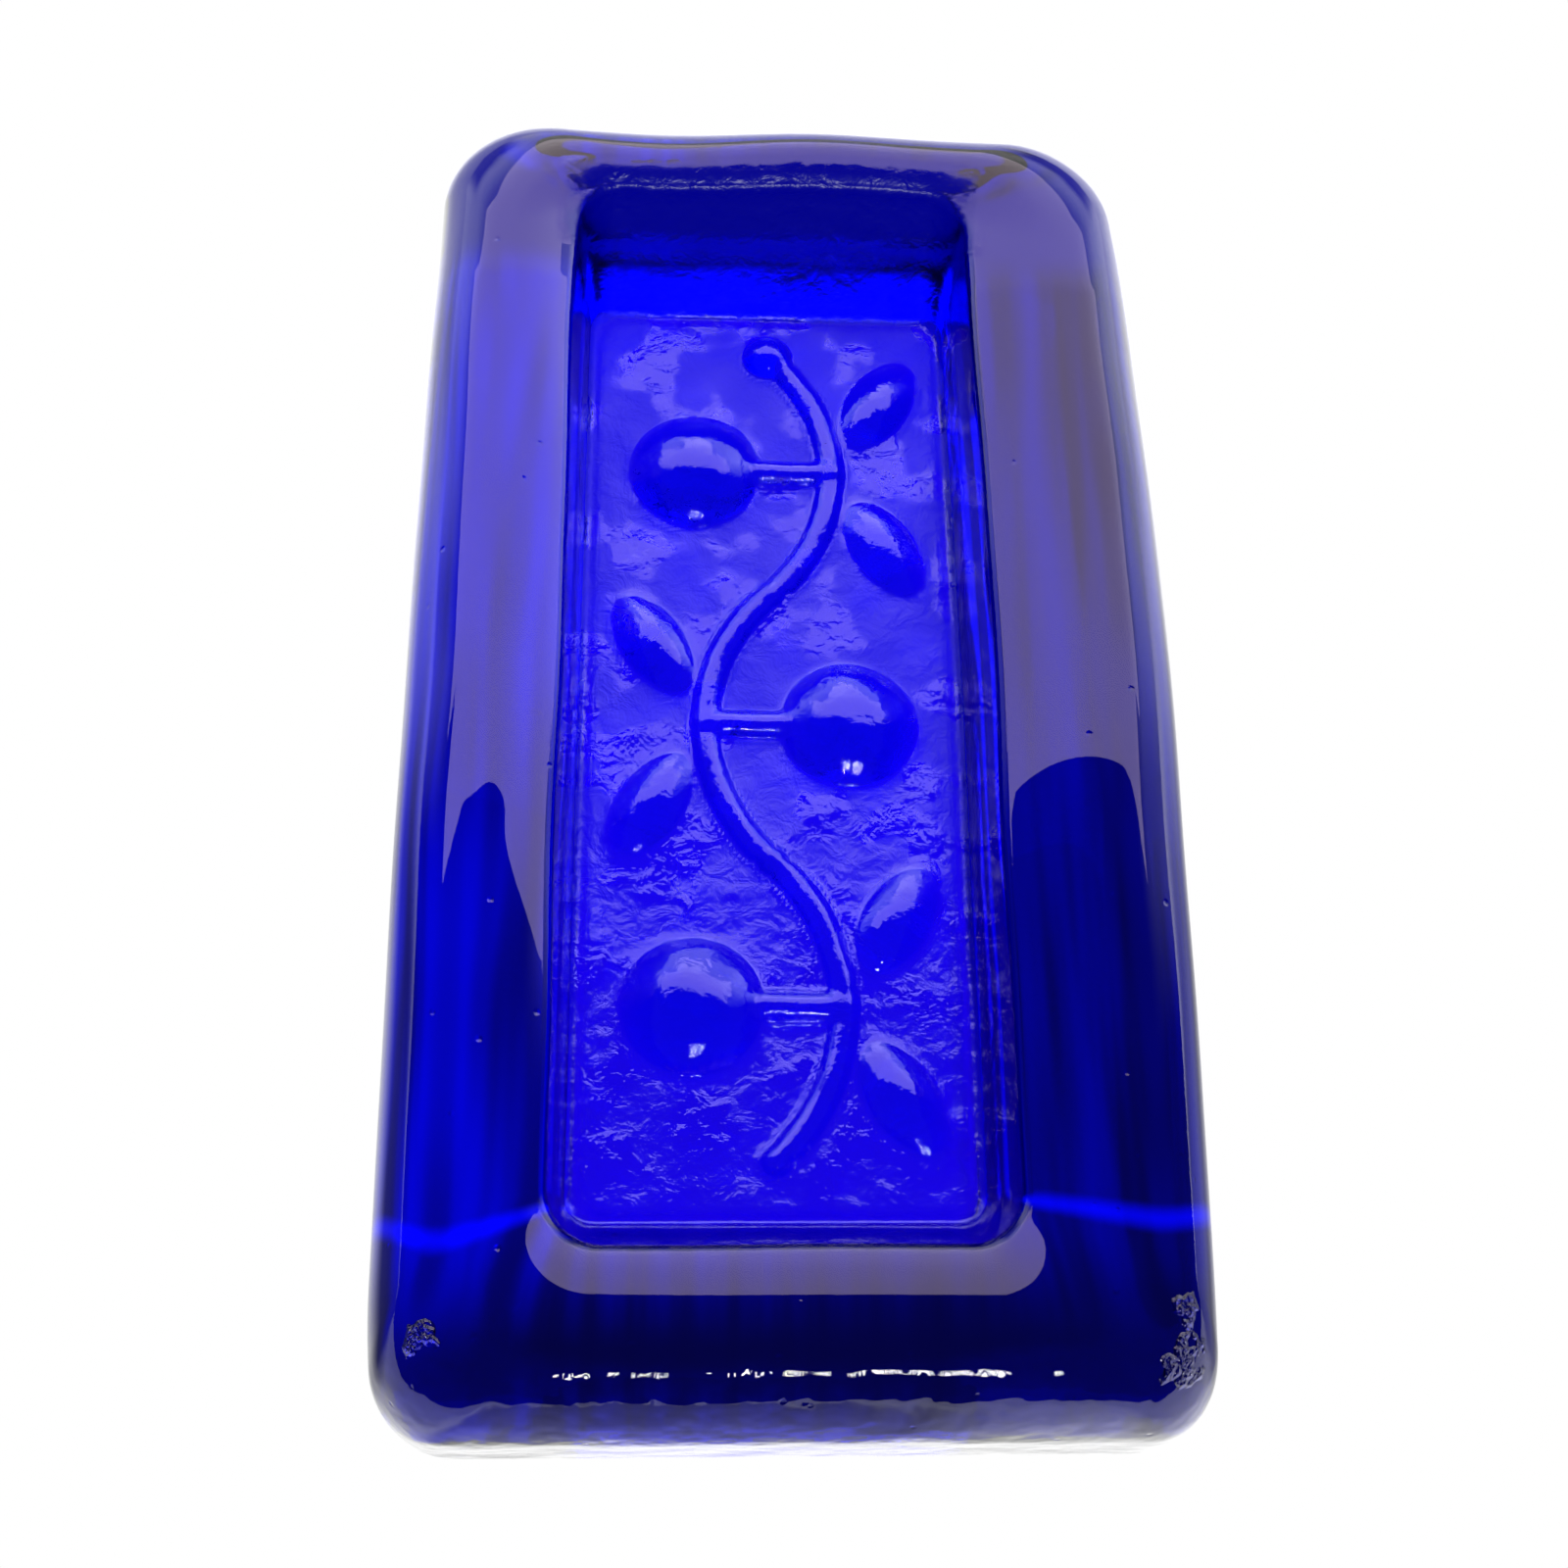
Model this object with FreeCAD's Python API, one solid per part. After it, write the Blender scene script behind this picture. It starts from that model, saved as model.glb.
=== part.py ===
import FreeCAD, Part
import math
import os

# Outside of the dish, in millimetres. The long side runs along Y and the table is at Z = 0.
length = 190.0
width = 104.0
height = 32.5
near_corner = 8.5
far_corner = 12.5
foot_bevel = 1.4

# Round shoulder from the outer wall up to the crown of the rim, which draws in most at the far end
shoulder_drop = 24.0
side_shoulder_run = 13.0
near_shoulder_run = 8.5
far_shoulder_run = 16.0
crown_corner = 15.0

# Width of the rim from the outer wall to the mouth of the well, which lies a little off the middle
side_rim = 22.9
near_rim = 19.0
far_rim = 16.8
rim_fall = 1.8
lip_round = 1.8
mouth_corner = 6.5
well_shift = -2.0

# The well: its walls lean inwards on the way down, the short ones most
floor_thickness = 11.5
side_wall_run = 1.5
near_wall_run = 5.9
far_wall_run = 9.2
floor_bevel = 0.8
floor_corner = 3.5

# Relief on the floor: a scrolling vine that carries a fruit and two leaves at each bend
bend_count = 3
vine_end_margin = 9.0
vine_swing = 9.0
stem_width = 4.4
stem_crest = 1.8
stem_rise = 2.2
fruit_radius = 10.4
fruit_rise = 3.6
fruit_offset = 10.6
leaf_length = 28.0
leaf_width = 9.0
leaf_rise = 3.0
leaf_lean = 31.0
bud_radius = 4.2
bud_rise = 2.2
root_depth = 1.0

# Outlines per round of the section, enough for a smooth skin
round_steps = 6

Vector = FreeCAD.Vector
up = Vector(0, 0, 1)
rims = (side_rim, near_rim, far_rim)
shoulder_runs = (side_shoulder_run, near_shoulder_run, far_shoulder_run)
wall_runs = (side_wall_run, near_wall_run, far_wall_run)


def blend(start, end, share):
    return start + (end - start) * share


def outline(insets, near_round, far_round, shift, z):
    """Closed outline of four sides and four quarter arcs, inset at its sides, near end and far end."""
    side, near, far = insets
    right = width / 2 - side + shift
    left = side - width / 2 + shift
    front = near - length / 2
    back = length / 2 - far
    bends = [
        Part.makeCircle(far_round, Vector(right - far_round, back - far_round, z), up, 0, 90),
        Part.makeCircle(far_round, Vector(left + far_round, back - far_round, z), up, 90, 180),
        Part.makeCircle(near_round, Vector(left + near_round, front + near_round, z), up, 180, 270),
        Part.makeCircle(near_round, Vector(right - near_round, front + near_round, z), up, 270, 360),
    ]
    edges = []
    for bend, following in zip(bends, bends[1:] + bends[:1]):
        edges.append(bend)
        edges.append(Part.makeLine(bend.Vertexes[-1].Point, following.Vertexes[0].Point))
    return Part.Wire(edges)


def foot_outlines():
    """Small bevel from the flat base out to the outer wall."""
    bevel = [foot_bevel] * 3
    base = outline(bevel, near_corner - foot_bevel, far_corner - foot_bevel, 0, 0)
    return base, outline([0, 0, 0], near_corner, far_corner, 0, foot_bevel)


def shoulder_outlines():
    """Quarter ellipses from the outer wall up to the crown of the rim."""
    wires = []
    for step in range(round_steps + 1):
        angle = math.radians(90.0 * step / round_steps)
        share = 1 - math.cos(angle)
        insets = [run * share for run in shoulder_runs]
        near_round = blend(near_corner, crown_corner, share)
        far_round = blend(far_corner, crown_corner, share)
        wires.append(outline(insets, near_round, far_round, 0, height - shoulder_drop * (1 - math.sin(angle))))
    return wires


def crown_outlines():
    """From the crown of the rim inwards, falling ever faster to the mouth."""
    wires = []
    for step in range(round_steps + 1):
        share = step / round_steps
        insets = [blend(run, rim, share) for run, rim in zip(shoulder_runs, rims)]
        corner = blend(crown_corner, mouth_corner, share)
        wires.append(outline(insets, corner, corner, well_shift * share, height - rim_fall * share ** 2))
    return wires


def lip_outlines():
    """Round the lip from the fall of the crown into the leaning walls.

    The long sides turn with the given radius. The ends turn between slopes of their own
    over the same drop, so each outline stays level.
    """
    mouth_z = height - rim_fall
    rim_slopes = [math.atan(2 * rim_fall / (rim - run)) for rim, run in zip(rims, shoulder_runs)]
    wall_slopes = [math.atan((mouth_z - floor_thickness) / run) for run in wall_runs]
    whole_drop = lip_round * (math.cos(rim_slopes[0]) - math.cos(wall_slopes[0]))
    wires = []
    for step in range(round_steps + 1):
        side_angle = blend(rim_slopes[0], wall_slopes[0], step / round_steps)
        drop = lip_round * (math.cos(rim_slopes[0]) - math.cos(side_angle))
        insets = []
        for rim, start, stop in zip(rims, rim_slopes, wall_slopes):
            radius = whole_drop / (math.cos(start) - math.cos(stop))
            angle = math.acos(math.cos(start) - drop / radius)
            insets.append(rim + radius * (math.sin(angle) - math.sin(start)))
        wires.append(outline(insets, mouth_corner, mouth_corner, well_shift, mouth_z - drop))
    return wires, insets


def floor_outlines(lip_insets):
    """Foot of the leaning walls, and the edge of the floor inside a small bevel."""
    foot = [inset + run for inset, run in zip(lip_insets, wall_runs)]
    edge = [inset + floor_bevel for inset in foot]
    wall_foot = outline(foot, floor_corner, floor_corner, well_shift, floor_thickness + floor_bevel)
    return wall_foot, outline(edge, floor_corner, floor_corner, well_shift, floor_thickness)


def plain_dish():
    """Closed skin, stretch by stretch: base, foot, wall, shoulder, crown, lip, well wall, floor."""
    base, wall_foot = foot_outlines()
    shoulder = shoulder_outlines()
    crown = crown_outlines()
    lip, lip_insets = lip_outlines()
    well_foot, floor = floor_outlines(lip_insets)
    faces = [Part.Face(base), Part.Face(floor)]
    for curved in (shoulder, crown, lip):
        faces += Part.makeLoft(curved, False, False).Faces
    for straight in ((base, wall_foot), (wall_foot, shoulder[0]), (lip[-1], well_foot), (well_foot, floor)):
        faces += Part.makeLoft(list(straight), False, True).Faces
    shell = Part.makeShell(faces)
    shell.sewShape()
    return Part.makeSolid(Part.Shell(shell.Faces))


def dome(x, y, radius, rise):
    """Round cap that stands the given rise above the floor."""
    ball_radius = (radius ** 2 + rise ** 2) / (2 * rise)
    ball = Part.makeSphere(ball_radius, Vector(x, y, floor_thickness + rise - ball_radius))
    bed = Part.makeBox(4 * radius, 4 * radius, height, Vector(x - 2 * radius, y - 2 * radius, floor_thickness - root_depth))
    return ball.common(bed)


def stem_section(x, y):
    """Section of the stem across X: a low ridge with sloping sides and a flat crest."""
    low = floor_thickness - root_depth
    top = floor_thickness + stem_rise
    corners = [
        Vector(x - stem_width / 2, y, low),
        Vector(x + stem_width / 2, y, low),
        Vector(x + stem_width / 2, y, floor_thickness),
        Vector(x + stem_crest / 2, y, top),
        Vector(x - stem_crest / 2, y, top),
        Vector(x - stem_width / 2, y, floor_thickness),
    ]
    return Part.Face(Part.makePolygon(corners + corners[:1]))


def stem_bend(side, y, pitch):
    """One bend of the stem, an arc that swings out to one side and back."""
    bow = (pitch ** 2 / 4 + vine_swing ** 2) / (2 * vine_swing)
    sweep = math.degrees(2 * math.asin(pitch / 2 / bow))
    bend = stem_section(bow, 0).revolve(Vector(0, 0, 0), up, sweep)
    bend.rotate(Vector(0, 0, 0), up, -sweep / 2 if side > 0 else 180 - sweep / 2)
    bend.translate(Vector(side * (vine_swing - bow), y, 0))
    return bend


def stalk(side, y):
    """Straight stalk from the crest of a bend to the middle of its fruit."""
    bar = stem_section(0, 0).extrude(Vector(0, vine_swing + fruit_offset, 0))
    bar.rotate(Vector(0, 0, 0), up, 90 * side)
    bar.translate(Vector(side * vine_swing, y, 0))
    return bar


def leaf(x, y, turn):
    """Pointed leaf with a keel: what two leaning cones share."""
    half = leaf_width / 2
    bow = (leaf_length ** 2 / 4 + half ** 2) / (2 * half)
    lean = half / leaf_rise
    tall = root_depth + 2 * leaf_rise
    cones = []
    for side in (1, -1):
        foot = Vector(leaf_length / 2, side * (bow - half), floor_thickness - root_depth)
        cones.append(Part.makeCone(bow + root_depth * lean, bow + (root_depth - tall) * lean, tall, foot, up))
    body = cones[0].common(cones[1])
    body.rotate(Vector(0, 0, 0), up, turn)
    body.translate(Vector(x, y, 0))
    return body


def vine():
    """All pieces of the relief, from the near end of the floor to the far end."""
    front = near_rim + near_wall_run + vine_end_margin - length / 2
    back = length / 2 - far_rim - far_wall_run - vine_end_margin
    pitch = (back - front) / bend_count
    pieces = []
    for bend in range(bend_count):
        side = 1 if bend % 2 == 0 else -1
        y = front + (bend + 0.5) * pitch
        pieces.append(stem_bend(side, y, pitch))
        pieces.append(stalk(side, y))
        pieces.append(dome(-side * fruit_offset, y, fruit_radius, fruit_rise))
        for heading in (1, -1):
            pieces.append(leaf(side * vine_swing, y, heading * (90 - side * leaf_lean)))
    pieces.append(dome(0, back, bud_radius, bud_rise))
    for piece in pieces:
        piece.translate(Vector(well_shift, 0, 0))
    return pieces


def glass_dish():
    """The whole dish: one casting, with the roots of the relief let into its floor."""
    return plain_dish().fuse(vine()).removeSplitter().Solids[0]


os.makedirs("parts", exist_ok=True)
solid = glass_dish()
solid.exportStep("parts/glass_dish.step")
print("glass_dish", solid.isValid(), round(solid.Volume), solid.BoundBox)
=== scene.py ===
import math

import bpy
import numpy as np
from mathutils import Matrix, Vector


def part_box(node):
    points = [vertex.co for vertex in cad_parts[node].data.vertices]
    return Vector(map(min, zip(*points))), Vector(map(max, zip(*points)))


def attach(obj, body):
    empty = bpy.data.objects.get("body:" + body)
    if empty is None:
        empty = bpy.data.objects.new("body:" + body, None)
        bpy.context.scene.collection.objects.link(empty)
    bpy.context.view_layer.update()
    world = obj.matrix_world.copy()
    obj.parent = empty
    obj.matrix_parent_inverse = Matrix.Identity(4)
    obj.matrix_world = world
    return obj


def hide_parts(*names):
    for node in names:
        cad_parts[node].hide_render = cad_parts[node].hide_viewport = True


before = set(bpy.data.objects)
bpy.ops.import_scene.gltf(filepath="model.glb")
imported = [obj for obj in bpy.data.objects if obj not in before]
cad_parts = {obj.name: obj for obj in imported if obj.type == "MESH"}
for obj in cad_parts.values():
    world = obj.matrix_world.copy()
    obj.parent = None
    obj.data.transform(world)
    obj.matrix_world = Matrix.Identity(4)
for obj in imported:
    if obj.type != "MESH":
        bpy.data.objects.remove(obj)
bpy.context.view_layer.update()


# The dish is one heavy casting of cobalt-blue glass, with thick rims round a long well.
# It was poured hot into a mould and pressed. The mould gave it the sharp foot and the leaning walls of the
# well, and the open rim drew itself round as the glass cooled, more at the far end than at the near one.
dish_low, dish_high = (Vector(corner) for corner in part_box("glass_dish"))
half_width = (dish_high.x - dish_low.x) / 2
half_length = (dish_high.y - dish_low.y) / 2
height = dish_high.z - dish_low.z
near_corner = 0.0085
far_corner = 0.0125
crown_corner = 0.0150
foot_round = 0.0020

# Run, drop and flatness of the shoulders at the long sides, the near end and the far end
shoulders = ((0.0125, 0.0240, 3.0), (0.0105, 0.0150, 2.5), (0.0128, 0.0400, 2.6))
shoulder_runs = [run for run, drop, flatness in shoulders]
side_rim = 0.0229
near_rim = 0.0200
far_rim = 0.0168
rims = (side_rim, near_rim, far_rim)
rim_fall = 0.0018
lip_round = 0.0018
mouth_corner = 0.0065
well_shift = -0.0020
floor_height = 0.0115
side_wall_run = 0.0015
near_wall_run = 0.0052
far_wall_run = 0.0092
wall_runs = (side_wall_run, near_wall_run, far_wall_run)
floor_round = 0.0010
floor_corner = 0.0035

# Outlines in each stretch of the skin, and cells of the floor
foot_steps = 7
shoulder_steps = 44
crown_steps = 20
lip_steps = 10
wall_steps = 14
hollow_steps = 7
across_count = 96
along_count = 256
squaring_cells = 24
fade_cells = 2
tiny = 1e-9


def blend(start, end, share):
    return start + (end - start) * share


def shoulder_inset(z, run, drop, flatness):
    """How far the rounded shoulder has drawn in at a height. A higher flatness gives a broader crown."""
    rise = max(z - (height - drop), 0) / drop
    return run * (1 - max(1 - rise ** 2, 0) ** (1 / flatness))


def foot_outlines():
    """Small round from the flat base out to the outer walls.

    Like the other outlines: side, near and far inset, near and far corner, shift and height.
    """
    outlines = []
    for angle in np.linspace(0, math.pi / 2, foot_steps):
        inset = foot_round * (1 - math.sin(angle))
        insets = [inset + shoulder_inset(foot_round, *shoulder) for shoulder in shoulders]
        z = foot_round * (1 - math.cos(angle))
        outlines.append((*insets, near_corner - inset, far_corner - inset, 0, z))
    return outlines


def shoulder_outlines():
    """Up the outer walls and round the shoulders to the crown of the rim."""
    outlines = []
    for angle in np.linspace(0, math.pi / 2, shoulder_steps)[1:]:
        z = foot_round + (height - foot_round) * math.sin(angle)
        insets = [shoulder_inset(z, *shoulder) for shoulder in shoulders]
        share = insets[0] / shoulder_runs[0]
        near_round = blend(near_corner, crown_corner, share)
        far_round = blend(far_corner, crown_corner, share)
        outlines.append((*insets, near_round, far_round, 0, z))
    return outlines


def crown_outlines():
    """From the crown of the rim inwards, falling ever faster to the mouth."""
    outlines = []
    for share in np.linspace(0, 1, crown_steps)[1:]:
        insets = [blend(run, rim, share) for run, rim in zip(shoulder_runs, rims)]
        corner = blend(crown_corner, mouth_corner, share)
        outlines.append((*insets, corner, corner, well_shift * share, height - rim_fall * share ** 2))
    return outlines


def well_outlines():
    """Round the lip, down the leaning walls and through the hollow at their foot to the floor."""
    outlines = []
    mouth_z = height - rim_fall
    rim_slope = math.atan(2 * rim_fall / (side_rim - shoulder_runs[0]))
    wall_slopes = [math.atan((mouth_z - floor_height) / run) for run in wall_runs]
    for share in np.linspace(0, 1, lip_steps)[1:]:
        angles = [blend(rim_slope, slope, share) for slope in wall_slopes]
        lip = [rim + lip_round * (math.sin(angle) - math.sin(rim_slope)) for rim, angle in zip(rims, angles)]
        lip_z = mouth_z - lip_round * (math.cos(rim_slope) - math.cos(angles[0]))
        outlines.append((*lip, mouth_corner, mouth_corner, well_shift, lip_z))
    foot_z = floor_height + floor_round * (1 - math.cos(wall_slopes[0]))
    for share in np.linspace(0, 1, wall_steps)[1:]:
        wall = [inset + run * share for inset, run in zip(lip, wall_runs)]
        corner = blend(mouth_corner, floor_corner, share)
        outlines.append((*wall, corner, corner, well_shift, blend(lip_z, foot_z, share)))
    for share in np.linspace(0, 1, hollow_steps)[1:]:
        hollow = [inset + floor_round * (math.sin(slope) - math.sin(slope * (1 - share)))
                  for inset, slope in zip(wall, wall_slopes)]
        drop = floor_round * (math.cos(wall_slopes[0] * (1 - share)) - math.cos(wall_slopes[0]))
        outlines.append((*hollow, floor_corner, floor_corner, well_shift, foot_z - drop))
    return outlines


def side_points(share, half_along, half_across, corner):
    """Points along one side of a rounded rectangle, from mid-corner to mid-corner, as (along, across)."""
    straight = half_along - corner
    distance = np.abs(share) * (straight + corner * math.pi / 4)
    angle = np.clip((distance - straight) / np.maximum(corner, tiny), 0, math.pi / 4)
    along = np.minimum(distance, straight) + corner * np.sin(angle)
    return np.sign(share) * along, half_across - corner * (1 - np.cos(angle))


def ring(side_inset, near_inset, far_inset, near_round, far_round, shift, z):
    """One outline of the skin, counter-clockwise, in step with the border of the floor's grid."""
    half_x = half_width - side_inset
    half_y = half_length - (near_inset + far_inset) / 2
    along = np.linspace(-1, 1, along_count + 1)[:-1]
    across = np.linspace(-1, 1, across_count + 1)[:-1]
    right_y, right_x = side_points(along, half_y, half_x, np.where(along < 0, near_round, far_round))
    left_y, left_x = side_points(along, half_y, half_x, np.where(along < 0, far_round, near_round))
    far_x, far_y = side_points(across, half_x, half_y, np.full(across.shape, far_round))
    near_x, near_y = side_points(across, half_x, half_y, np.full(across.shape, near_round))
    x = np.concatenate([right_x, -far_x, -left_x, near_x]) + shift
    y = np.concatenate([right_y, far_y, -left_y, -near_y]) + (near_inset - far_inset) / 2
    return np.column_stack([x, y, np.full(len(x), z)])


outlines = foot_outlines() + shoulder_outlines() + crown_outlines() + well_outlines()
floor_side, floor_near, floor_far = outlines[-1][:3]
rings = [ring(*outline) for outline in outlines[:-1]]
around = len(rings[0])

# The floor of the well is a grid whose rings start as the last outline and square off towards the middle.
floor_half_x = half_width - floor_side
floor_half_y = half_length - (floor_near + floor_far) / 2
floor_middle = (floor_near - floor_far) / 2
column, row = np.meshgrid(np.arange(across_count + 1), np.arange(along_count + 1), indexing="ij")
step_in = np.minimum(np.minimum(column, across_count - column), np.minimum(row, along_count - row))
column_share = 2 * column / across_count - 1
row_share = 2 * row / along_count - 1
ring_x = 1 - 2 * step_in / across_count
ring_y = 1 - 2 * step_in / along_count
corner = floor_corner * np.clip(1 - step_in / squaring_cells, 0, 1)
on_side = np.isclose(np.abs(column_share), ring_x)
share = np.where(on_side, row_share / np.maximum(ring_y, tiny), column_share / np.maximum(ring_x, tiny))
half_along = np.where(on_side, floor_half_y * ring_y, floor_half_x * ring_x)
half_across = np.where(on_side, floor_half_x * ring_x, floor_half_y * ring_y)
along, across = side_points(share, half_along, half_across, corner)
grid_x = np.where(on_side, np.sign(column_share) * across, along) + well_shift
grid_y = np.where(on_side, along, np.sign(row_share) * across) + floor_middle
grid = np.column_stack([grid_x.ravel(), grid_y.ravel(), np.full(grid_x.size, floor_height)])

# The attribute floor_share says where the floor is, and fades to nothing at its edge.
skin = np.concatenate(rings + [grid])
first_cell = around * len(rings)
inside_floor = np.concatenate([np.zeros(first_cell), np.clip(step_in.ravel() / fade_cells, 0, 1)])
cell = first_cell + np.arange(grid_x.size).reshape(grid_x.shape)
border = np.concatenate([cell[-1, :-1], cell[:0:-1, -1], cell[0, :0:-1], cell[:-1, 0]])
loops = [np.arange(level * around, (level + 1) * around) for level in range(len(rings))] + [border]
faces = [tuple(reversed(range(around)))]
for lower, upper in zip(loops[:-1], loops[1:]):
    faces += np.column_stack([lower, np.roll(lower, -1), np.roll(upper, -1), upper]).tolist()
cell_corners = (cell[:-1, :-1], cell[1:, :-1], cell[1:, 1:], cell[:-1, 1:])
faces += np.column_stack([corners.ravel() for corners in cell_corners]).tolist()
mesh = bpy.data.meshes.new("plain_dish")
mesh.from_pydata(skin.tolist(), [], faces)

# The base is one wide polygon, which stays flat: smooth shading would bend its normals at the rim.
mesh.polygons.foreach_set("use_smooth", [False] + [True] * (len(mesh.polygons) - 1))
mesh.attributes.new("floor_share", "FLOAT", "POINT").data.foreach_set("value", inside_floor)
dish = bpy.data.objects.new("cast_glass_dish", mesh)
bpy.context.collection.objects.link(dish)


# The glass is clear cobalt blue all through, so thick parts go dark and thin ones stay bright.
# Its skin took the fine grain of the mould on the floor and the far wall of the well, the rims were smoothed
# by fire, and use has bruised the near corners.
class Wire:
    """A socket of a node tree. Sums on it add Math nodes to the tree."""

    def __init__(self, tree, socket=None):
        self.tree = tree
        self.socket = socket

    def node(self, kind, settings=None, sockets=None, output=0):
        made = self.tree.nodes.new(kind)
        for name, value in (settings or {}).items():
            setattr(made, name, value)
        for name, value in (sockets or {}).items():
            if isinstance(value, Wire):
                self.tree.links.new(value.socket, made.inputs[name])
            else:
                made.inputs[name].default_value = value
        return Wire(self.tree, made.outputs[output]) if made.outputs else made

    def math(self, operation, *values):
        return self.node("ShaderNodeMath", {"operation": operation}, dict(enumerate(values)))

    def smooth(self, low, high):
        return self.node("ShaderNodeMapRange", {"interpolation_type": "SMOOTHSTEP"},
                         {"Value": self, "From Min": low, "From Max": high})

    def most(self, other):
        return self.math("MAXIMUM", self, other)

    def least(self, other):
        return self.math("MINIMUM", self, other)

    def part(self, axis):
        return self.node("ShaderNodeSeparateXYZ", None, {"Vector": self}, axis)

    def __add__(self, other):
        return self.math("ADD", self, other)

    def __radd__(self, other):
        return self.math("ADD", other, self)

    def __sub__(self, other):
        return self.math("SUBTRACT", self, other)

    def __rsub__(self, other):
        return self.math("SUBTRACT", other, self)

    def __mul__(self, other):
        return self.math("MULTIPLY", self, other)

    def __rmul__(self, other):
        return self.math("MULTIPLY", other, self)

    def __truediv__(self, other):
        return self.math("DIVIDE", self, other)

    def __rtruediv__(self, other):
        return self.math("DIVIDE", other, self)

    def __abs__(self):
        return self.math("ABSOLUTE", self)


def noise(place, scale, detail, roughness=0.5, distortion=0.0):
    return place.node("ShaderNodeTexNoise", None, {
        "Vector": place, "Scale": scale, "Detail": detail, "Roughness": roughness, "Distortion": distortion})


glass_colour = (0.36, 0.0, 0.970, 1)
glass_density = 600.0
grain_depth = 0.00050
creep_depth = 0.00090
crest_polish = 0.7
flow_depth = 0.00050
pit_depth = 0.00006
ripple_depth = 0.00050
far_grain_depth = 0.00030
crush_depth = 0.00090
ragged_reach = 0.009
well_haze = 0.20
far_well_haze = 0.46
far_wall_haze = 0.24

# Middle of each bruise, and how many times smaller it is than the first
bruises = (((0.0440, -0.0880, 0.0300), 1.0), ((0.0432, -0.0814, 0.0308), 1.5), ((-0.0430, -0.0845, 0.0306), 1.3))

glass = bpy.data.materials.new("cobalt_glass")
glass.use_nodes = True
shader = glass.node_tree.nodes["Principled BSDF"]
shader.inputs["Base Color"].default_value = (1, 1, 1, 1)
shader.inputs["Transmission Weight"].default_value = 1.0
shader.inputs["Roughness"].default_value = 0.0
shader.inputs["IOR"].default_value = 1.5
wire = Wire(glass.node_tree)
depth = wire.node("ShaderNodeVolumeAbsorption", None, {"Color": glass_colour, "Density": glass_density})
glass.node_tree.links.new(depth.socket, glass.node_tree.nodes["Material Output"].inputs["Volume"])
place = wire.node("ShaderNodeTexCoord", output="Object")
place_x, place_y, place_z = (place.part(axis) for axis in "XYZ")
off_middle = abs(place_x - well_shift)
in_well = place_z.smooth(0.0200, 0.0175) * off_middle.smooth(0.0285, 0.0270) * abs(place_y).smooth(0.0685, 0.0665)
crest = place_z.smooth(0.0118, 0.0129)
far_wall = (place_y.smooth(0.0660, 0.0680) * place_y.smooth(0.0815, 0.0795)
            * place_z.smooth(0.0322, 0.0312) * off_middle.smooth(0.0310, 0.0290))
near_end = place_y.smooth(-0.083, -0.090)
grain = noise(place, 330.0, 3.0, 0.6, 0.4)
creep = noise(place, 95.0, 2.0)
flow = noise(place, 26.0, 1.0)
ripple = noise(place, 150.0, 2.0)
ragged = noise(place, 420.0, 2.0)
crush = noise(place, 1400.0, 2.0)
pit_gap = wire.node("ShaderNodeTexVoronoi", {"feature": "F1"}, {"Vector": place, "Scale": 160.0}, "Distance")
pits = pit_gap.smooth(0.085, 0.02)
first_gap, second_gap, third_gap = [
    wire.node("ShaderNodeVectorMath", {"operation": "DISTANCE"}, {0: place, 1: middle}, "Value") * smaller
    for middle, smaller in bruises]
bruise_gap = first_gap.least(second_gap).least(third_gap)
bruise = (bruise_gap + (ragged - 0.5) * ragged_reach).smooth(0.0030, 0.0016)
skin_height = (in_well * (1 - crest_polish * crest) * (grain * grain_depth + creep * creep_depth)
               + (1 - in_well) * (flow * flow_depth - pits * pit_depth)
               + near_end * ripple * ripple_depth + far_wall * grain * far_grain_depth
               + bruise * crush * crush_depth)
patches = in_well * (1 - crest) * creep.smooth(0.60, 0.50)
haze = patches * (well_haze + far_well_haze * place_y.smooth(-0.040, 0.005)) + far_wall * far_wall_haze
glass.node_tree.links.new(haze.socket, shader.inputs["Roughness"])
bump = wire.node("ShaderNodeBump", None, {"Height": skin_height, "Strength": 1.0, "Distance": 1.0})
glass.node_tree.links.new(bump.socket, shader.inputs["Normal"])


# The vine stands on the floor of the well, pressed in the same pour. A stem swings from side to side in
# equal bends, and each bend carries one round fruit on a stalk inside it and two leaves outside it.
vine = bpy.data.node_groups.new("pressed_vine", "GeometryNodeTree")
vine.interface.new_socket("Geometry", in_out="INPUT", socket_type="NodeSocketGeometry")
vine_end_margin = 0.0090
vine_front = near_rim + near_wall_run + vine_end_margin - half_length
vine_back = half_length - far_rim - far_wall_run - vine_end_margin
bends = ((-1, 1), (0, -1), (1, 1))  # place along the vine, and the side it swings to
bend_overlap = 0.0001
vine_sizes = {
    "Swing": 0.0090,
    "Pitch": (vine_back - vine_front) / len(bends),
    "Stem Radius": 0.0024,
    "Stem Rise": 0.0024,
    "Fruit Offset": 0.0106,
    "Fruit Radius": 0.0104,
    "Fruit Rise": 0.0050,
    "Leaf Length": 0.0280,
    "Leaf Radius": 0.0062,
    "Leaf Rise": 0.0032,
    "Leaf Lean": math.radians(31),
    "Bud Radius": 0.0042,
    "Bud Rise": 0.0032,
    "Softness": 0.0004,
}
for name in vine_sizes:
    vine.interface.new_socket(name, in_out="INPUT", socket_type="NodeSocketFloat")
vine.interface.new_socket("Glass", in_out="INPUT", socket_type="NodeSocketMaterial")
vine.interface.new_socket("Geometry", in_out="OUTPUT", socket_type="NodeSocketGeometry")
entry = vine.nodes.new("NodeGroupInput")
size = {name: Wire(vine, entry.outputs[name]) for name in vine_sizes}
wire = Wire(vine)
spot = wire.node("GeometryNodeInputPosition")
spot_x = spot.part("X") - well_shift
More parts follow.
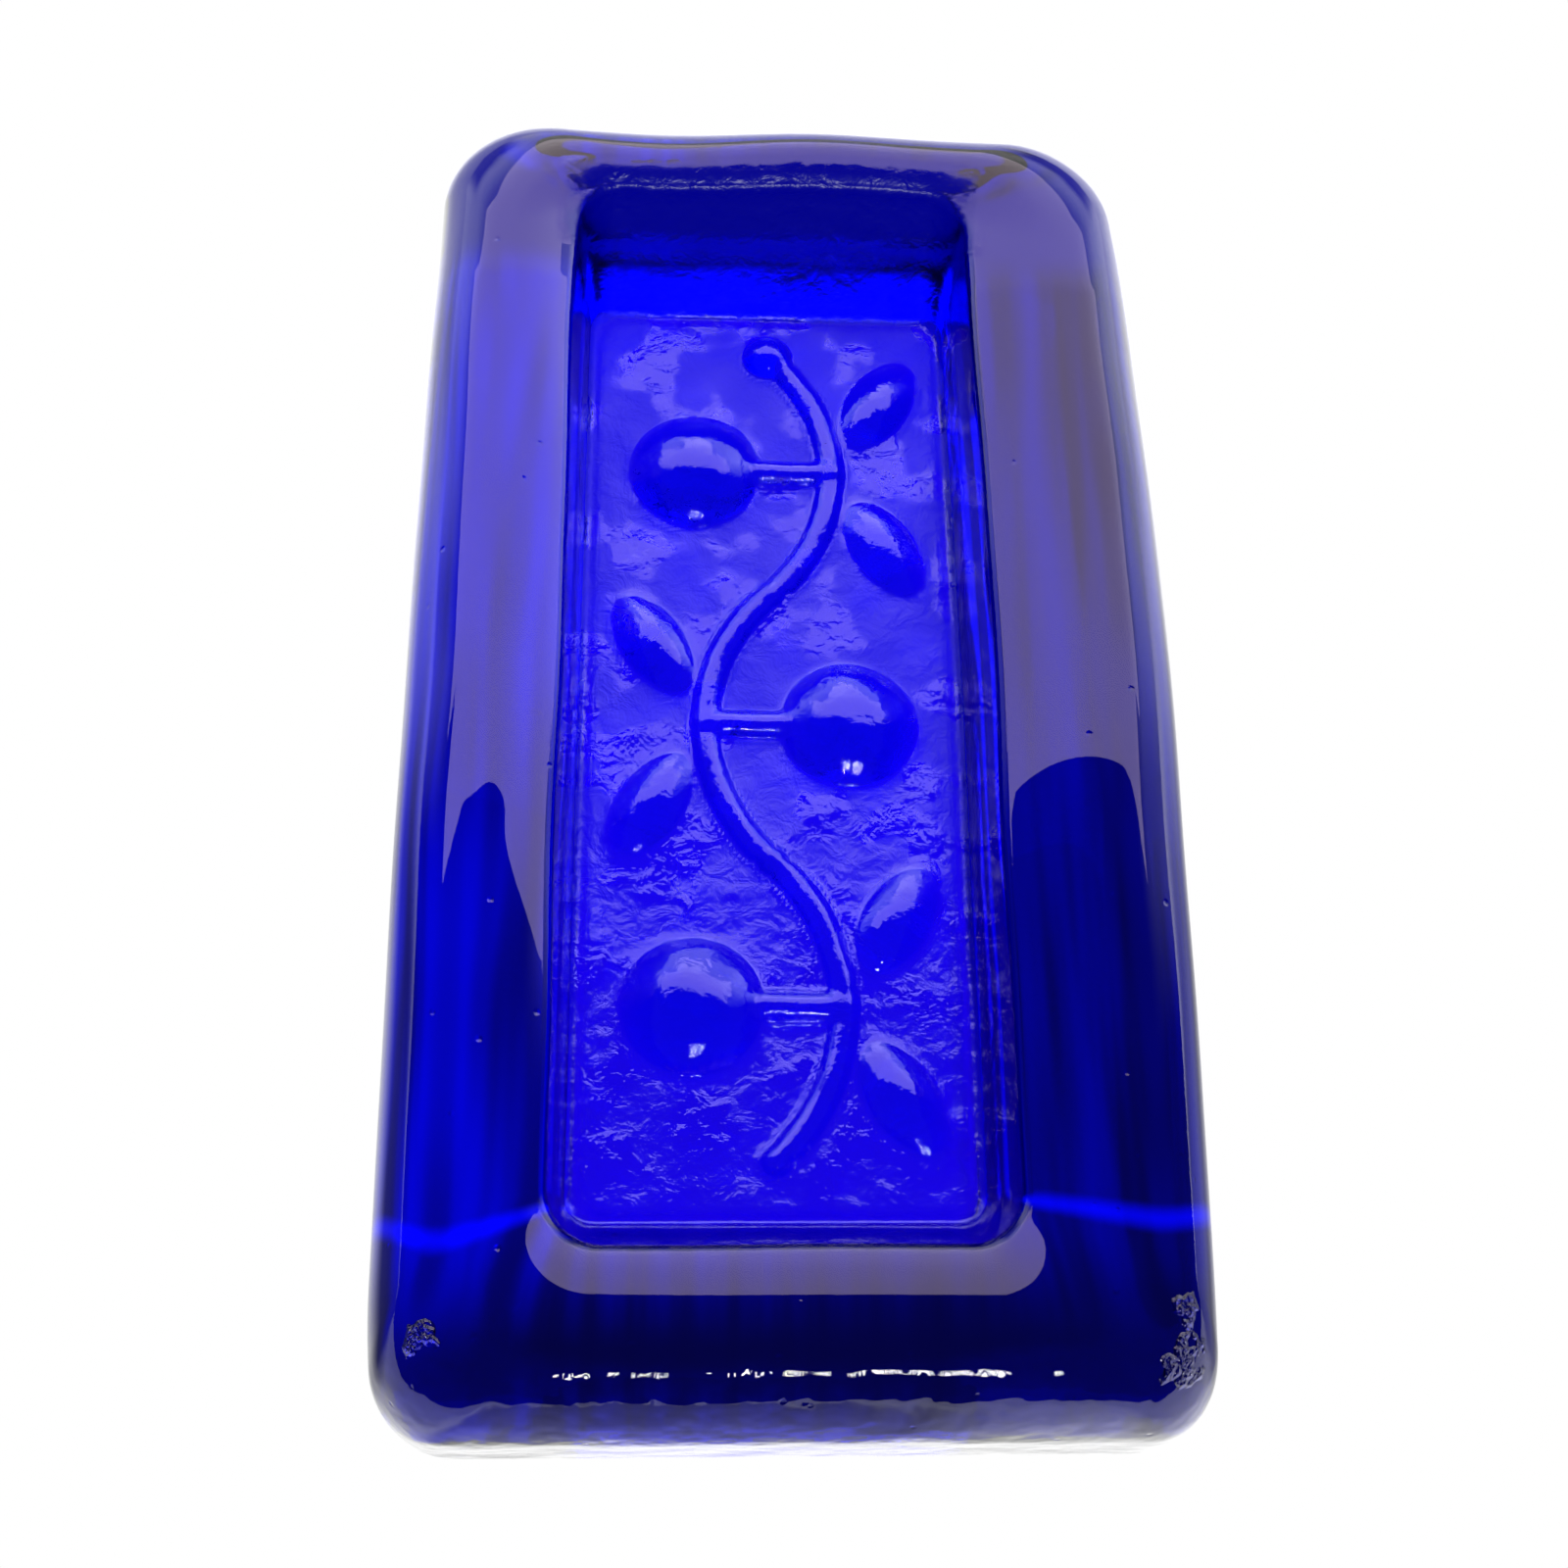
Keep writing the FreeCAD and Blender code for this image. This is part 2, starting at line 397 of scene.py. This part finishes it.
spot_y = spot.part("Y") - (vine_front + vine_back) / 2


def root(value):
    above = value.most(0.0)
    return above.math("SQRT", above)


def length(x, y):
    return root(x * x + y * y)


def dome(x, y, radius, rise):
    ball = (radius * radius + rise * rise) / (2 * rise)
    return root(ball * ball - x * x - y * y) + rise - ball


def tube(distance, radius, rise):
    return root(radius * radius - distance * distance) + rise - radius


def leaf_pair(x, y, lean, radius, rise, long):
    """Two pointed leaves that leave the stem at one spot, mirrored along it."""
    cosine = lean.math("COSINE", lean)
    sine = lean.math("SINE", lean)
    along = abs(y) * cosine + x * sine
    beside = abs(y) * sine - x * cosine
    bow = (long * long / 4 + radius * radius) / (2 * radius)
    from_middle = along - long / 2
    width = (root(bow * bow - from_middle * from_middle) - bow + radius).most(0.0)
    return root(width * width - beside * beside) + rise - radius


def melt(lower, upper, softness):
    """The higher of two heights, with a soft fold where they meet."""
    gap = (0.5 + (upper - lower) / (softness * 4)).most(0.0).least(1.0)
    return lower * (1 - gap) + upper * gap + softness * 2 * gap * (1 - gap)


swing, pitch, fruit_offset = size["Swing"], size["Pitch"], size["Fruit Offset"]
bow = (pitch * pitch / 4 + swing * swing) / (2 * swing)
stalk_middle = (fruit_offset - swing) / 2
stalk_half = (fruit_offset + swing) / 2
raised = spot_x * 0.0
for bend, side in bends:
    x = spot_x * side
    y = spot_y - pitch * bend
    within = pitch / 2 - abs(y)
    in_bend = within.math("GREATER_THAN", within, 0.0) * x.math("GREATER_THAN", x, -bend_overlap)
    ring_gap = abs(length(x - swing + bow, y) - bow)
    end_gap = length(x, within)
    stalk_gap = length(y, (abs(x + stalk_middle) - stalk_half).most(0.0))
    pieces = [
        tube(end_gap + (ring_gap - end_gap) * in_bend, size["Stem Radius"], size["Stem Rise"]),
        tube(stalk_gap, size["Stem Radius"], size["Stem Rise"]),
        dome(x + fruit_offset, y, size["Fruit Radius"], size["Fruit Rise"]),
        leaf_pair(x - swing, y, size["Leaf Lean"], size["Leaf Radius"], size["Leaf Rise"], size["Leaf Length"]),
    ]
    for piece in pieces:
        raised = melt(raised, piece, size["Softness"])
bud = dome(spot_x, spot_y - pitch * (len(bends) / 2), size["Bud Radius"], size["Bud Rise"])
raised = melt(raised, bud, size["Softness"])
on_floor = wire.node("GeometryNodeInputNamedAttribute", {"data_type": "FLOAT"}, {"Name": "floor_share"})
lift = wire.node("ShaderNodeCombineXYZ", None, {"Z": raised * on_floor})
plain = Wire(vine, entry.outputs["Geometry"])
pressed = wire.node("GeometryNodeSetPosition", None, {"Geometry": plain, "Offset": lift})
whole = wire.node("GeometryNodeRealizeInstances", None, {"Geometry": pressed})
stuff = Wire(vine, entry.outputs["Glass"])
coated = wire.node("GeometryNodeSetMaterial", None, {"Geometry": whole, "Material": stuff})
wire.node("NodeGroupOutput", None, {"Geometry": coated})
press = dish.modifiers.new("pressed_vine", "NODES")
press.node_group = vine
for item in vine.interface.items_tree:
    if item.in_out == "INPUT" and item.name in vine_sizes:
        press[item.identifier] = vine_sizes[item.name]
    if item.in_out == "INPUT" and item.name == "Glass":
        press[item.identifier] = glass
depsgraph = bpy.context.evaluated_depsgraph_get()
finished = bpy.data.meshes.new_from_object(dish.evaluated_get(depsgraph))
dish.modifiers.remove(press)
dish.data = finished
bpy.data.meshes.remove(mesh)
finished.name = "cast_glass_dish"


# Cooling moved the casting a little. The long sides swelled, two corners drew in, the rim sank and runs in slow
# waves that are deepest along the far end, and the floor kept fine waves from the mould.
right_swell, left_swell = 0.0026, 0.0008
right_draw, left_draw = 0.0014, 0.0008
swell_middle = 0.010
far_right_draw = 0.0026
near_left_draw = 0.0020
near_wave_share = 0.3
rim_wave_height = 0.00016
far_wave_height = 0.00045
rim_sink = 0.0007
far_rim_sink = 0.0007
floor_wave_height = 0.00012


def waves(way, *trains):
    """Sum of waves along a way, each with a height, a length and a start."""
    return sum(tall * np.sin(way / long + start) for tall, long, start in trains)


points = np.empty(len(finished.vertices) * 3)
finished.vertices.foreach_get("co", points)
points = points.reshape(-1, 3)
floor_share = np.empty(len(points))
finished.attributes["floor_share"].data.foreach_get("value", floor_share)
x, y, z = points.T.copy()
upper = np.clip(z / height, 0, 1)
swell = (np.where(x > 0, right_swell, left_swell) * np.cos(math.pi * (y - swell_middle) / (2 * half_length))
         - np.where(x > 0, right_draw, left_draw))
far_right = np.clip((y - 0.052) / 0.043, 0, 1) ** 2 * np.clip(x / half_width, 0, 1) ** 2
near_left = np.clip((-0.076 - y) / 0.019, 0, 1) ** 2 * np.clip(-x / half_width, 0, 1) ** 4
side_wave = waves(y, (0.00022, 0.0118, 0.6), (0.00010, 0.0061, 2.1)) * (np.abs(x) > 0.02)
end_wave = waves(x, (0.00030, 0.0105, 0.4), (0.00016, 0.0052, 1.2)) * np.clip((np.abs(y) - 0.060) / 0.012, 0, 1)
end_wave *= np.where(y > 0, 1.0, near_wave_share)
rim_wave = (rim_wave_height * np.sin(y / 0.017 + x / 0.03)
            + far_wave_height * np.clip(y / 0.09, 0, 1) * np.sin(x / 0.009 + 0.9))
sink = rim_sink + far_rim_sink * np.clip((y - 0.06) / 0.02, 0, 1)
floor_wave = np.sin(x / 0.0021 + 1.4 * np.sin(y / 0.0060)) * np.sin(y / 0.0026 + 1.1 * np.sin(x / 0.0070) + 0.5)
points[:, 0] += np.sign(x) * swell * (np.abs(x) / half_width) ** 2 + side_wave * upper ** 2
points[:, 0] += near_left_draw * near_left - far_right_draw * far_right
points[:, 1] += end_wave * upper ** 2
points[:, 2] += (rim_wave - sink) * upper ** 3 + floor_wave_height * floor_wave * floor_share
finished.vertices.foreach_set("co", points.ravel())
finished.update()
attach(dish, "root")
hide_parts("glass_dish")


# A white paper sweep lies under the dish. Through the glass it shows painted shade: bright below the well and dim
# below the rims, where the thick glass keeps the light out, and dimmest below the near end. Rims and shoulders
# mirror the paper beside the dish, which carries a painted reflection that is bright behind the dish and close to
# it.
paper_half = 3.0
paper_z = -0.0003
# Levels of the painted shade and the painted glint that the paper shows through the glass
side_tone, left_tone = 0.36, 0.46
shade_streak_base, shade_streak_tone = 0.35, 1.3
near_tone = 0.09
far_tone = 0.55
well_tone, far_well_tone = 1.0, 0.2
glint_tone = 1.3
behind_tone = 0.9
edge_shade = 0.8
# Levels of the painted reflection of the paper on the rims and shoulders, and of the painted shade in it
open_tone = 0.10
close_tone = 0.6
right_tone = 0.35
front_tone = 0.85
back_tone = 1.1
back_right_tone = 0.5
wedge_shade = 0.35
front_shade = 0.66
paper_corners = [(-1, -1), (1, -1), (1, 1), (-1, 1)]
paper_mesh = bpy.data.meshes.new("studio_floor")
paper_mesh.from_pydata([(x * paper_half, y * paper_half, paper_z) for x, y in paper_corners], [], [(0, 1, 2, 3)])
paper_floor = bpy.data.objects.new("studio_floor", paper_mesh)
bpy.context.collection.objects.link(paper_floor)
paper = bpy.data.materials.new("white_paper")
paper.use_nodes = True
matte = paper.node_tree.nodes["Principled BSDF"]
matte.inputs["Base Color"].default_value = (0.85, 0.85, 0.85, 1)
matte.inputs["Roughness"].default_value = 1.0
matte.inputs["Specular IOR Level"].default_value = 0.0
wire = Wire(paper.node_tree)
place = wire.node("ShaderNodeTexCoord", output="Object")
paper_x, paper_y = place.part("X"), place.part("Y")
to_side = abs(paper_x)
seen, shone, through = [wire.node("ShaderNodeLightPath", output=name)
                        for name in ("Is Camera Ray", "Is Glossy Ray", "Is Transmission Ray")]

# Painted shade on the paper, seen through the glass below the dish, with streaks of painted shade below the long
# rims
under_well = abs(paper_x - well_shift).smooth(0.031, 0.023) * abs(paper_y).smooth(0.080, 0.066)
stretched = wire.node("ShaderNodeVectorMath", {"operation": "MULTIPLY"}, {0: place, 1: (1.0, 0.05, 1.0)})
shade_streaks = noise(stretched, 210.0, 2.0, 0.6).smooth(0.30, 0.70)
under_side = (side_tone + left_tone * paper_x.smooth(0.015, -0.015)) * (shade_streak_base + shade_streak_tone * shade_streaks)
under_near = paper_y.smooth(-0.068, -0.084)
under_far = paper_y.smooth(0.072, 0.080) * paper_y.smooth(0.0935, 0.0915)
under_rim = under_side + (near_tone - under_side) * under_near + (far_tone - under_side) * under_far
painted_light_below = under_rim + (well_tone + far_well_tone * paper_y.smooth(-0.05, 0.0) - under_rim) * under_well
# A painted glint: a thin bright line on the paper beside the near corners of the well, seen through the glass
glint_line = 0.0645 + (to_side - 0.027) * (0.17 + 0.18 * paper_x.smooth(0.01, -0.01))
glint = abs(paper_y + glint_line).smooth(0.0022, 0.0) * to_side.smooth(0.026, 0.034)
painted_light_below = painted_light_below + glint_tone * glint
painted_light_below = painted_light_below + (behind_tone - painted_light_below) * paper_y.smooth(0.0925, 0.0965)
under_edge = to_side.smooth(0.045, 0.050) * paper_y.smooth(0.02, -0.02) * paper_y.smooth(-0.088, -0.080)
painted_light_below = painted_light_below * (1 - edge_shade * under_edge)

# Painted reflection: the paper's tone beside the dish that the rims and shoulders mirror, with painted shade in
# wedges behind the dish and in front of it
aside = to_side / paper_y.most(0.05)
wedge = aside.smooth(0.20, 0.36) * aside.smooth(0.95, 0.62) * paper_y.smooth(0.08, 0.12)
beside = open_tone + close_tone * to_side.smooth(0.078, 0.056) + right_tone * paper_x.smooth(0.05, 0.09)
beside = beside + front_tone * paper_y.smooth(-0.086, -0.100)
beside = beside + back_tone * paper_y.smooth(-0.02, 0.10) * (1 - wedge_shade * wedge)
beside = beside + back_right_tone * paper_x.smooth(0.03, 0.10) * paper_y.smooth(-0.02, 0.06)
in_front = paper_y.smooth(-0.0975, -0.1050) * paper_x.smooth(0.045, 0.010) * paper_x.smooth(-0.062, -0.045)
beside = beside * (1 - front_shade * in_front)
# Rays through the glass see the painted shade, reflected rays see the painted reflection, and the camera sees plain
# white
painted_paper_tone = 1 + through * (painted_light_below - 1) + shone * (1 - through) * (beside - 1)
white_and_painted_glow = wire.node("ShaderNodeEmission", None, {"Color": painted_paper_tone, "Strength": 1.0})
plain = Wire(paper.node_tree, matte.outputs[0])
mixed = wire.node("ShaderNodeMixShader", None, {0: seen.most(shone.most(through)), 1: plain, 2: white_and_painted_glow})
paper.node_tree.links.new(mixed.socket, paper.node_tree.nodes["Material Output"].inputs["Surface"])
paper_mesh.materials.append(paper)


# The studio: a bright backdrop behind the dish, a dark room in front of it, a large softbox of three panels
# above the far end and a row of small windows behind the camera.
room_level = 0.03
refracted_level = 2.5
backdrop_level = 1.7
corner_shade = 0.85
right_level = 0.9
world = bpy.data.worlds.new("studio")
bpy.context.scene.world = world
world.use_nodes = True
wire = Wire(world.node_tree)
look = wire.node("ShaderNodeTexCoord", output="Generated")
look_x, look_y, look_z = (look.part(axis) for axis in "XYZ")
seen, through = [wire.node("ShaderNodeLightPath", output=name) for name in ("Is Camera Ray", "Is Transmission Ray")]
backdrop = look_y.smooth(0.36, 0.62) * look_z.smooth(0.80, 0.45)
aside = abs(look_x) / look_y.most(0.05)
wedge = aside.smooth(0.20, 0.36) * aside.smooth(0.95, 0.62) * look_z.smooth(0.42, 0.25)
refracted = through * look_y.smooth(0.08, 0.20) * look_z.smooth(0.5, 0.8)
level = room_level + refracted_level * refracted + backdrop_level * backdrop * (1 - corner_shade * wedge)
level = level + right_level * look_x.smooth(0.45, 0.75) * look_y.smooth(0.25, 0.45)
level = level + seen * (1 - level)
world.node_tree.links.new(level.socket, world.node_tree.nodes["Background"].inputs["Color"])
world.node_tree.nodes["Background"].inputs["Strength"].default_value = 1.0


def panel(name, place, aim, wide, tall, radiance, colour):
    lamp = bpy.data.lights.new(name, "AREA")
    lamp.shape = "RECTANGLE"
    lamp.size = wide
    lamp.size_y = tall
    lamp.energy = radiance * math.pi * wide * tall
    lamp.color = colour
    stand = bpy.data.objects.new(name, lamp)
    stand.location = place
    stand.rotation_euler = (Vector(aim) - Vector(place)).to_track_quat("-Z", "Y").to_euler()
    bpy.context.collection.objects.link(stand)
    return stand


softbox_z = 0.65
softbox_radiance = 2.5
softbox_colour = (1.0, 0.81, 0.96)
softboxes = (("softbox", 0.05, 0.563, 1.25, 0.374), ("softbox_far", 0.05, 1.075, 0.50, 0.65),
             ("softbox_front", 0.06, 0.315, 1.00, 0.122))
for name, x, y, wide, tall in softboxes:
    panel(name, (x, y, softbox_z), (x, y, 0), wide, tall, softbox_radiance, softbox_colour)

# Place across and width of each window, the last eight in an even row
window_y = -1.1
window_z = 1.36
window_unevenness = 0.05
window_tall = 0.28
window_radiance = 34.0
window_colour = (1, 1, 1)
near_edge = (0, -0.09, 0.03)
windows = [(-0.107, 0.010), (-0.096, 0.006), (-0.059, 0.022), (-0.026, 0.006),
           (0.103, 0.012), (0.174, 0.040), (0.222, 0.008)]
windows += [(0.236 + 0.0082 * pane, 0.0045) for pane in range(8)]
for number, (x, wide) in enumerate(windows):
    spot = (x, window_y, window_z + window_unevenness * math.sin(number * 2.3))
    window = panel("window_%d" % number, spot, near_edge, wide, window_tall, window_radiance, window_colour)
    window.visible_transmission = False

# The camera stands over the near end and looks down steeply, a little turned and rolled.
camera_place = (-0.01724, -0.11537, 0.25728)
camera_turn, camera_tilt, camera_roll = 0.0144, 0.4081, -0.069
camera_data = bpy.data.cameras.new("camera")
camera_data.lens = 45.3
camera_data.sensor_width = 36
camera = bpy.data.objects.new("camera", camera_data)
turn = Matrix.Rotation(camera_turn, 4, "Z") @ Matrix.Rotation(camera_tilt, 4, "X")
camera.matrix_world = Matrix.Translation(camera_place) @ turn @ Matrix.Rotation(camera_roll, 4, "Y")
bpy.context.collection.objects.link(camera)
bpy.context.scene.camera = camera
bpy.context.scene.view_settings.view_transform = "Standard"
